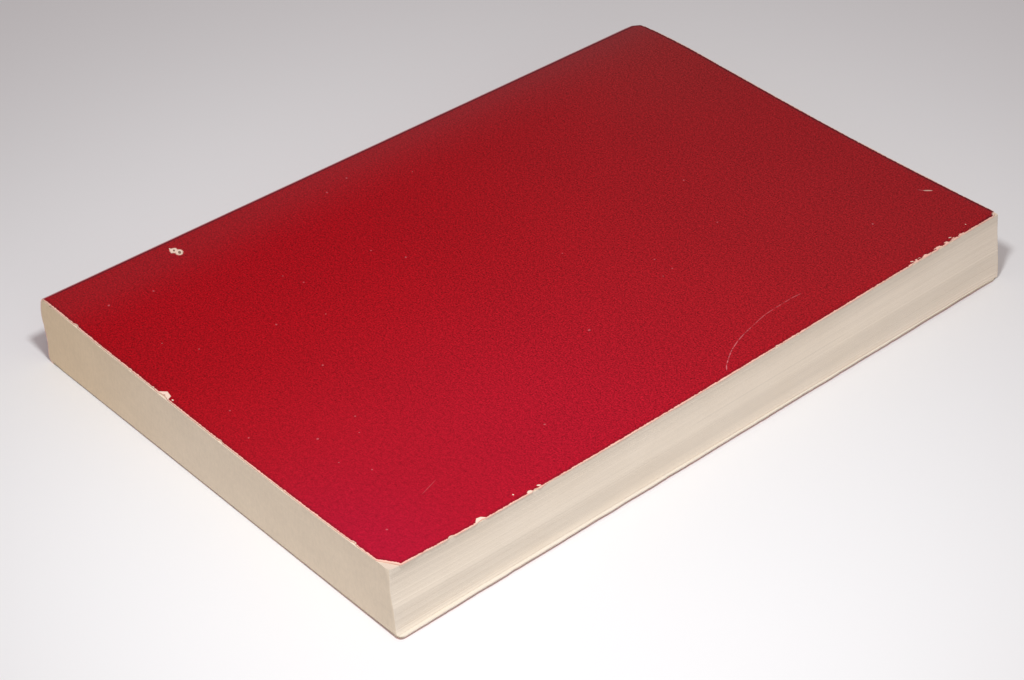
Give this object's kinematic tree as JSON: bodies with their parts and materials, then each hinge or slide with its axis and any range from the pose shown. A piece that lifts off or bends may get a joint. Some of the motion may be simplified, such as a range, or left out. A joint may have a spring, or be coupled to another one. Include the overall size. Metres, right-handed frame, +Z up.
{
  "type": "paperback book",
  "caption": "Worn pocket paperback with plain red card covers, a glued spine and a cream leaf block; both covers open on folds beside the spine.",
  "frame": {"origin": "on the floor plane under the middle of the closed book's outer box", "axes": "+X from the spine to the fore-edge, +Y from the tail to the head, +Z up out of the front cover"},
  "size_m": [0.1172, 0.178, 0.0166],
  "materials": {
    "cover_card": "smooth coated card, satin, rubbed at the edges",
    "spine_glue": "hot-melt glue, waxy",
    "leaves": "aged uncoated paper, matt, cut edges"
  },
  "bodies": {
    "block": {"text_block": "leaves", "spine_glue": "spine_glue", "spine_panel": "cover_card"},
    "front_cover": {"front_cover": "cover_card"},
    "back_cover": {"back_cover": "cover_card"}
  },
  "joints": [
    {"name": "front_cover_fold", "type": "hinge", "parent": "block", "child": "front_cover", "pos_m": [-0.05485, 0, 0.0164], "axis": [0, -1, 0], "range_deg": [0, 175]},
    {"name": "back_cover_fold", "type": "hinge", "parent": "block", "child": "back_cover", "pos_m": [-0.05565, 0, 0], "axis": [0, 1, 0], "range_deg": [0, 175]}
  ]
}
